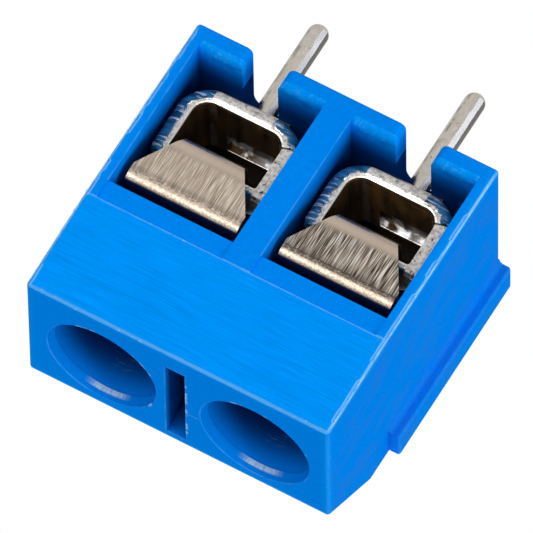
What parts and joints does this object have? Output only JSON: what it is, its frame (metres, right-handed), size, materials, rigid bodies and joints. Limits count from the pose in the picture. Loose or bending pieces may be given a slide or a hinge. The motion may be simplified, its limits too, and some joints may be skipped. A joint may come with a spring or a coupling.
{
  "type": "screw terminal block",
  "caption": "Board-mounted screw terminal block with a moulded housing, lifting cages, front wire entries, driver wells on top and a side tongue and groove.",
  "frame": {"origin": "on the board face of the housing, midway between the solder pins", "axes": "+Z from the board to the screws, +Y the way the wires go in, +X across the poles to the side with the groove"},
  "size_m": [0.0104, 0.0066, 0.0131],
  "materials": {
    "housing": "semi-gloss moulded polyamide",
    "plated_strip": "tin plated, brushed by the rolls",
    "plated_cage": "nickel plated",
    "solder_pin": "tin plated",
    "plated_screw": "zinc plated"
  },
  "bodies": {
    "block": {"housing": "housing", "contact_strip_1": "plated_strip", "contact_strip_2": "plated_strip", "solder_pin_1": "solder_pin", "solder_pin_2": "solder_pin"},
    "cage_1": {"lift_cage_1": "plated_cage"},
    "cage_2": {"lift_cage_2": "plated_cage"},
    "screw_1": {"clamp_screw_1": "plated_screw"},
    "screw_2": {"clamp_screw_2": "plated_screw"}
  },
  "joints": [
    {"name": "screw_turn_1", "type": "hinge", "parent": "block", "child": "screw_1", "pos_m": [-0.00254, 0.00035, 0.007], "axis": [0, 0, -1], "range_deg": [0, 1160]},
    {"name": "cage_lift_1", "type": "slide", "parent": "block", "child": "cage_1", "axis": [0, 0, 1], "range_m": [0, 0.00145]},
    {"name": "screw_turn_2", "type": "hinge", "parent": "block", "child": "screw_2", "pos_m": [0.00254, 0.00035, 0.007], "axis": [0, 0, -1], "range_deg": [0, 1160]},
    {"name": "cage_lift_2", "type": "slide", "parent": "block", "child": "cage_2", "axis": [0, 0, 1], "range_m": [0, 0.00145]}
  ],
  "couplings": [
    {"joint": "screw_turn_1", "follows": "cage_lift_1", "rad_per_m": 13963},
    {"joint": "screw_turn_2", "follows": "cage_lift_2", "rad_per_m": 13963}
  ]
}
